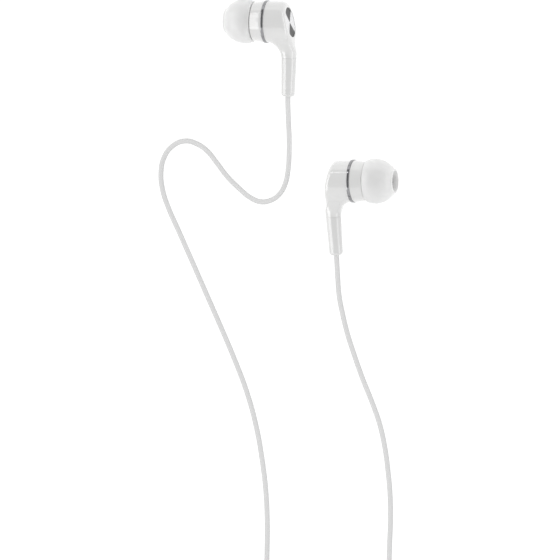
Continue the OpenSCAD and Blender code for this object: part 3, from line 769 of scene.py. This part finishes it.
def smooth_normals(piece, field, place, near=0.03, facing=0.8):
    """Gives the piece the field's own slope as its normals wherever a face lies on the field's surface: its vertex
    within near of it, and the slope turned off the face's own normal by a cosine above facing."""
    mesh = piece.data
    back = np.array(place.inverted())
    points = np.array([v.co for v in mesh.vertices]) @ back[:3, :3].T + back[:3, 3]
    slopes = slope(field, points / MM) @ back[:3, :3]
    slopes /= np.maximum(np.linalg.norm(slopes, axis=1), 1e-9)[:, None]
    on = np.abs(field(*(points.T / MM))) < near
    normals = []
    for face in mesh.polygons:
        own = np.array(face.normal)
        for i in face.vertices:
            normals.append(tuple(slopes[i] if on[i] and slopes[i] @ own > facing else own))
    mesh.normals_split_custom_set(normals)


def shell_shape():
    """The rear shell and upper stem, cut off at the ring and at the seam, with the disc's seat sunk into it."""
    low, high = (-9.4, -11.6, -6.4), (0.6, 6.4, 6.4)
    verts, faces = surface(shell_field, low, high, 0.15)
    down = DOWN_STEM.to_3x3() @ Vector((0, 0, 1))
    seam = (DOWN_STEM @ Vector((0, 0, (SEAM - HAIR) * MM))) / MM
    solid = trimmed(verts, faces, [((-RING_HALF + 0.1, 0, 0), (1, 0, 0)), (seam, down)])
    floor = ON_BACK_FACE @ (Vector((0, 0, -(DISC_T + HAIR))) * MM) / MM
    above = ON_BACK_FACE @ (Vector((0, 0, 3)) * MM) / MM
    return bored(solid, [(tuple(floor), tuple(above), DISC_R + 0.05)])


# ---- Buds ----


def bow(radius, half, middle, start, end, steps):
    """Points of an elliptical profile, as (radius, height)."""
    return [
        (radius * math.sqrt(max(0, 1 - ((z - middle) / half) ** 2)), z)
        for z in (start + (end - start) * k / steps for k in range(steps + 1))
    ]


def tip_shape():
    """A mushroom of silicone: a skirt, and a sleeve for the nozzle that runs back from the mouth inside it."""
    widest, back, front = 6.2, 5.6, 6.4
    inner, inner_front, sleeve_r, sleeve_start = TIP_R - SKIRT_T, 5.75, 3.55, 5.2
    web = widest + inner_front * math.sqrt(1 - (sleeve_r / inner) ** 2)
    outside = bow(TIP_R, back, widest, TIP_RIM + 0.1, widest, 16)[:-1]
    outside += bow(TIP_R, front, widest, widest, TIP_NOSE - 0.45, 44)
    mouth = eased(
        [outside[-1], (3.45, TIP_NOSE - 0.2, 0.2), (3.2, TIP_NOSE, 0.2), (TIP_MOUTH, TIP_NOSE - 0.02, 0.18),
         (TIP_MOUTH, sleeve_start, 0.1), (sleeve_r, sleeve_start, 0.15), (sleeve_r, web, 0.3)], 0.1, 5, closed=False
    )[1:-1]
    inside = bow(inner, inner_front, widest, widest, web - 0.25, 16)[::-1]
    inside += bow(inner, back, widest, TIP_RIM + 0.12, widest, 10)[::-1][1:]
    rim_r = TIP_R * math.sqrt(1 - ((TIP_RIM - widest) / back) ** 2)
    rim = [(rim_r - 0.44, TIP_RIM + 0.03), (rim_r - 0.27, TIP_RIM), (rim_r - 0.1, TIP_RIM + 0.02)]
    return spin(outside + mouth + inside + rim, 160)


def nozzle_shape():
    """The front shell, the nozzle with its barb, and the bore through them."""
    start, seat_r, seat_end = RING_HALF + HAIR, 5.11, 1.33
    return spin(eased([
        (BARREL_R, start, 0.05), (5.72, 0.9, 0.8), (5.33, 3.66, 0.08), (5.1, 3.73, 0.05), (4.75, 3.75, 0.1),
        (4.7, 4.2, 0.2), (3.4, 4.6, 0.4), (NOZZLE_R, 5.0, 0.3), (NOZZLE_R, 9.3, 0.1), (BARB_R, 9.6, 0.1),
        (BARB_R, 10.25, 0.15), (NOZZLE_R, NOZZLE_END, 0.15), (2.25, NOZZLE_END, 0.05), (2.25, NOZZLE_END - 0.4, 0),
        (BORE_R, NOZZLE_END - 0.4, 0.05), (BORE_R, 4.3, 0.2), (4.2, 3.0, 0.3), (4.6, 2.6, 0.2), (4.6, seat_end, 0),
        (seat_r, seat_end, 0), (seat_r, start, 0),
    ], 0.1, 6), 160)


def ring_shape():
    bore, corner = 5.12, 0.16
    return spin(eased([
        (bore, -RING_HALF, 0), (RING_R, -RING_HALF, corner), (RING_R, RING_HALF, corner), (bore, RING_HALF, 0),
    ], 0.1, 6), 192)


def disc_shape():
    """The disc in the rear face, with a narrow rim and a shallow dish inside it."""
    low, top = -DISC_T - HAIR, -0.05
    return spin(
        [(0, low), (DISC_R, low)]
        + eased([(DISC_R, low), (DISC_R, top, 0.12), (DISC_R - 0.32, top, 0.06), (DISC_R - 0.42, top - 0.06, 0.05),
                 (2.6, top - 0.1, 2), (0, top - 0.14)], 0.05, 6, closed=False)[1:], 128, closed=False
    )


def relief_shape():
    """The lower stem, with a spigot that stands in the upper stem and a hole for the cord."""
    hole_r, spigot_r, spigot_start = 0.73, 1.35, SEAM - 1.2
    return spin(eased([
        (hole_r, spigot_start, 0), (spigot_r, spigot_start, 0), (spigot_r, SEAM, 0), (STEM_R, SEAM, 0.02),
        (2.03, 14, 6), (1.92, 18, 4), (RELIEF_R, STEM_END - 0.55, 0.5), (1.5, STEM_END, 0.25),
        (hole_r, STEM_END, 0.05),
    ], 0.1, 6), 112)


def mesh_shape():
    """A round of woven wire in a thin rim."""
    pitch, wire, radius, middle = 0.3, 0.055, 2.08, NOZZLE_END - 0.24
    low, high, rim_in, rim_out = middle - 0.12, middle + 0.12, 2.0, 2.2
    parts = [spin(eased([(rim_in, low), (rim_out, low), (rim_out, high), (rim_in, high)], 0.04, 3), 64)]
    count = int(radius / pitch)
    for k in range(-count, count + 1):
        offset = k * pitch
        reach = math.sqrt(radius ** 2 - offset ** 2)
        steps = max(6, int(reach * 2 / pitch * 5))
        for crossed in (0, 1):
            route = []
            for i in range(steps + 1):
                v = -reach + 2 * reach * i / steps
                wave = wire * math.cos(math.pi * (v / pitch + k)) * (-1 if crossed else 1)
                route.append((v, offset, middle + wave) if crossed else (offset, v, middle + wave))
            parts.append(pipe(route, wire, 6))
    return joined(*parts)


SHAPES = {
    "silicone_tip": (tip_shape(), ON_BARREL, "ear_tip"),
    "front_shell": (nozzle_shape(), ON_BARREL, "nozzle_housing"),
    "bright_trim": (ring_shape(), ON_BARREL, "trim_ring"),
    "rear_shell": (shell_shape(), Matrix(), "rear_housing"),
    "spun_back": (disc_shape(), ON_BACK_FACE, "back_disc"),
    "stem_relief": (relief_shape(), DOWN_STEM, "strain_relief"),
    "sound_mesh": (mesh_shape(), ON_BARREL, "nozzle_mesh"),
}
for side in SIDES:
    for name, (shape, place, node) in SHAPES.items():
        node = f"{side}_{node}"
        piece = add(f"{side}_{name}", shape, BUDS[side] @ place, BODY_OF[node], SLOT_OF[node], [node])
        if name == "rear_shell":
            smooth_normals(piece, shell_field, BUDS[side])


# ---- CAD nodes that stay as they are, out of sight inside other pieces ----

for node, solid in frame["nodes"].items():
    if not solid.hide_render:
        solid.data.materials.clear()
        solid.data.materials.append(MATERIALS[SLOT_OF[node]])
        solid.data.shade_smooth()
        solid.data.set_sharp_from_angle(angle=math.radians(30))


# ---- Table and light ----


TABLE_HALF, TABLE_GREY, TABLE_GLOW = 3, 0.88, 1.1


def make_table():
    """Plain white to the camera and in reflections, and pale grey to diffuse rays. It catches no visible shadow."""
    reach = TABLE_HALF
    mesh = bpy.data.meshes.new("table_top")
    mesh.from_pydata([(-reach, -reach, 0), (reach, -reach, 0), (reach, reach, 0), (-reach, reach, 0)], [],
                     [(0, 1, 2, 3)])
    made = bpy.data.materials.new("table_white")
    made.use_nodes = True
    tree = made.node_tree
    tree.nodes.clear()
    lit, white = tree.nodes.new("ShaderNodeBsdfDiffuse"), tree.nodes.new("ShaderNodeEmission")
    lit.inputs["Color"].default_value = (TABLE_GREY, TABLE_GREY, TABLE_GREY, 1)
    white.inputs["Strength"].default_value = TABLE_GLOW
    seen, mix = tree.nodes.new("ShaderNodeLightPath"), tree.nodes.new("ShaderNodeMixShader")
    tree.links.new(seen.outputs["Is Diffuse Ray"], mix.inputs[0])
    tree.links.new(white.outputs[0], mix.inputs[1])
    tree.links.new(lit.outputs[0], mix.inputs[2])
    tree.links.new(mix.outputs[0], tree.nodes.new("ShaderNodeOutputMaterial").inputs[0])
    mesh.materials.append(made)
    table = bpy.data.objects.new("table_top", mesh)
    bpy.context.scene.collection.objects.link(table)


# Softboxes: brightness, then the range of angles off the zenith towards +X and towards +Y that each fills, and of
# X and Y in its direction. Angles are in degrees, and None is no limit.
SOFTBOXES = (
    (3.3, (-78, -30), None, None, (-0.66, 0.56)),
    (2.6, (62, 87), None, None, (-0.7, 0.7)),
    (0.8, None, (-88, -38), (-0.75, 0.75), None),
    (0.9, None, (64, 88), (-0.75, 0.75), None),
    (4.0, None, (44.5, 50), (-0.62, -0.3), None),
)
# The room between the softboxes, and the fill that diffuse rays see in place of both, brighter towards -X
DIM, SOFT_FILL, FILL_LEAN = 0.36, 0.87, 0.18


def make_studio():
    """A dim room with softboxes, as a sky. Camera rays see plain white, and diffuse rays see an even fill."""
    world = bpy.data.worlds.new("studio")
    bpy.context.scene.world = world
    world.use_nodes = True
    tree = world.node_tree
    tree.nodes.clear()

    def calc(what, a, b):
        made = tree.nodes.new("ShaderNodeMath")
        made.operation = what
        for socket, value in zip(made.inputs, (a, b)):
            if isinstance(value, (int, float)):
                socket.default_value = value
            else:
                tree.links.new(value, socket)
        return made.outputs[0]

    def edge(value, outside, inside):
        made = tree.nodes.new("ShaderNodeMapRange")
        made.interpolation_type = "SMOOTHSTEP"
        made.inputs["From Min"].default_value, made.inputs["From Max"].default_value = outside, inside
        tree.links.new(value, made.inputs["Value"])
        return made.outputs["Result"]

    split = tree.nodes.new("ShaderNodeSeparateXYZ")
    tree.links.new(tree.nodes.new("ShaderNodeTexCoord").outputs["Generated"], split.inputs[0])
    x, y, z = split.outputs
    degrees = 180 / math.pi
    # What each range is measured in, and how far a softbox fades out to either side of its limits
    measures = (
        (calc("MULTIPLY", calc("ARCTAN2", x, z), degrees), 1.5),
        (calc("MULTIPLY", calc("ARCTAN2", y, z), degrees), 1.0),
        (x, 0.04), (y, 0.03),
    )
    total = DIM
    for brightness, *ranges in SOFTBOXES:
        box = edge(z, -0.02, 0.02)  # only above the horizon
        for (value, soft), limits in zip(measures, ranges):
            if limits:
                low, high = limits
                box = calc("MULTIPLY", box, edge(value, low - soft, low + soft))
                box = calc("MULTIPLY", box, edge(value, high + soft, high - soft))
        total = calc("ADD", total, calc("MULTIPLY", box, brightness))
    seen = tree.nodes.new("ShaderNodeLightPath")
    fill = calc("MULTIPLY", calc("SUBTRACT", 1.0, calc("MULTIPLY", x, FILL_LEAN)), SOFT_FILL)
    for brightness, ray in ((fill, "Is Diffuse Ray"), (1.0, "Is Camera Ray")):
        others = calc("MULTIPLY", calc("SUBTRACT", 1.0, seen.outputs[ray]), total)
        total = calc("ADD", calc("MULTIPLY", seen.outputs[ray], brightness), others)
    sky = tree.nodes.new("ShaderNodeBackground")
    sky.inputs["Color"].default_value = (1, 1, 1, 1)
    tree.links.new(total, sky.inputs["Strength"])
    tree.links.new(sky.outputs[0], tree.nodes.new("ShaderNodeOutputWorld").inputs[0])
    world.cycles.sampling_method = "NONE"


make_table()
make_studio()
bpy.context.scene.view_settings.view_transform = "Standard"
